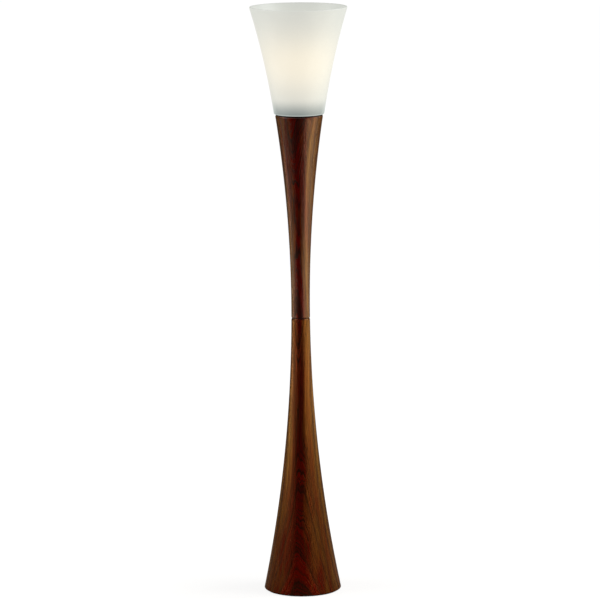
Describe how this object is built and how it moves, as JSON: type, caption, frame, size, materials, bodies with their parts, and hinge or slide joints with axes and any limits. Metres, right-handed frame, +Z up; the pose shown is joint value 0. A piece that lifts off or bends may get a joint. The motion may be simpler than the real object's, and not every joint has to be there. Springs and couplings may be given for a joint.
{
  "type": "torchiere floor lamp",
  "caption": "Torchiere floor lamp: an hourglass turned wood column on a weighted foot, with a flared opal glass shade that lifts off its collar and a screw-in bulb inside.",
  "frame": {"origin": "middle of the felt pad's underside, on the floor", "axes": "+Z up along the column, +Y to the back where the cord inlet is, +X to the right seen from the front"},
  "size_m": [0.2426, 0.2426, 1.473],
  "materials": {
    "walnut_wood": "walnut stain under satin lacquer",
    "opal_glass": "satin etched opal",
    "black_steel": "black powder coat",
    "zinc_steel": "zinc plated",
    "iron": "as cast",
    "black_fibre": "pressed fibre",
    "black_rubber": "moulded",
    "black_felt": "pressed felt",
    "black_nylon": "moulded",
    "white_nylon": "moulded",
    "black_insulation": "extruded",
    "white_insulation": "extruded",
    "porcelain": "white glaze",
    "brass": "rolled",
    "bulb_glass": "inside frosted",
    "stem_glass": "clear",
    "cap_metal": "rolled",
    "black_vitrite": "moulded",
    "solder": "soldered",
    "filament_wire": "drawn"
  },
  "bodies": {
    "stand": {"lower_column": "walnut_wood", "upper_column": "walnut_wood", "shade_holder": "black_steel", "lower_tube": "zinc_steel", "upper_tube": "zinc_steel", "tube_coupler": "zinc_steel", "lower_nut": "zinc_steel", "seam_nut": "zinc_steel", "upper_nut": "zinc_steel", "weight_washer": "zinc_steel", "lock_washer": "zinc_steel", "base_cover": "zinc_steel", "cover_screws": "zinc_steel", "socket_bracket": "zinc_steel", "bracket_screws": "zinc_steel", "base_weight": "iron", "seam_washer": "black_fibre", "shade_gasket": "black_rubber", "base_felt": "black_felt", "cord_inlet": "black_nylon", "inlet_nut": "black_nylon", "tube_bushing": "white_nylon", "lead_caps": "white_nylon", "live_lead": "black_insulation", "neutral_lead": "white_insulation", "socket_body": "porcelain", "socket_shell": "brass", "socket_contact": "brass", "terminal_screws": "brass"},
    "shade": {"glass_shade": "opal_glass"},
    "bulb_tip": {"bulb_contact": "solder"},
    "bulb": {"bulb_insulator": "black_vitrite", "bulb_cap": "cap_metal", "bulb_globe": "bulb_glass", "bulb_stem": "stem_glass", "bulb_supports": "filament_wire", "bulb_filament": "filament_wire"}
  },
  "joints": [
    {"name": "shade_lift", "type": "slide", "parent": "stand", "child": "shade", "axis": [0, 0, 1], "range_m": [0, 0.2]},
    {"name": "bulb_rise", "type": "slide", "parent": "stand", "child": "bulb_tip", "axis": [0, 0, 1], "range_m": [0, 0.01824]},
    {"name": "bulb_turn", "type": "hinge", "parent": "bulb_tip", "child": "bulb", "pos_m": [0, 0, 1.254], "axis": [0, 0, 1], "range_deg": [0, 1800]}
  ],
  "couplings": [
    {"joint": "bulb_rise", "follows": "bulb_turn", "m_per_rad": 0.00057757}
  ]
}
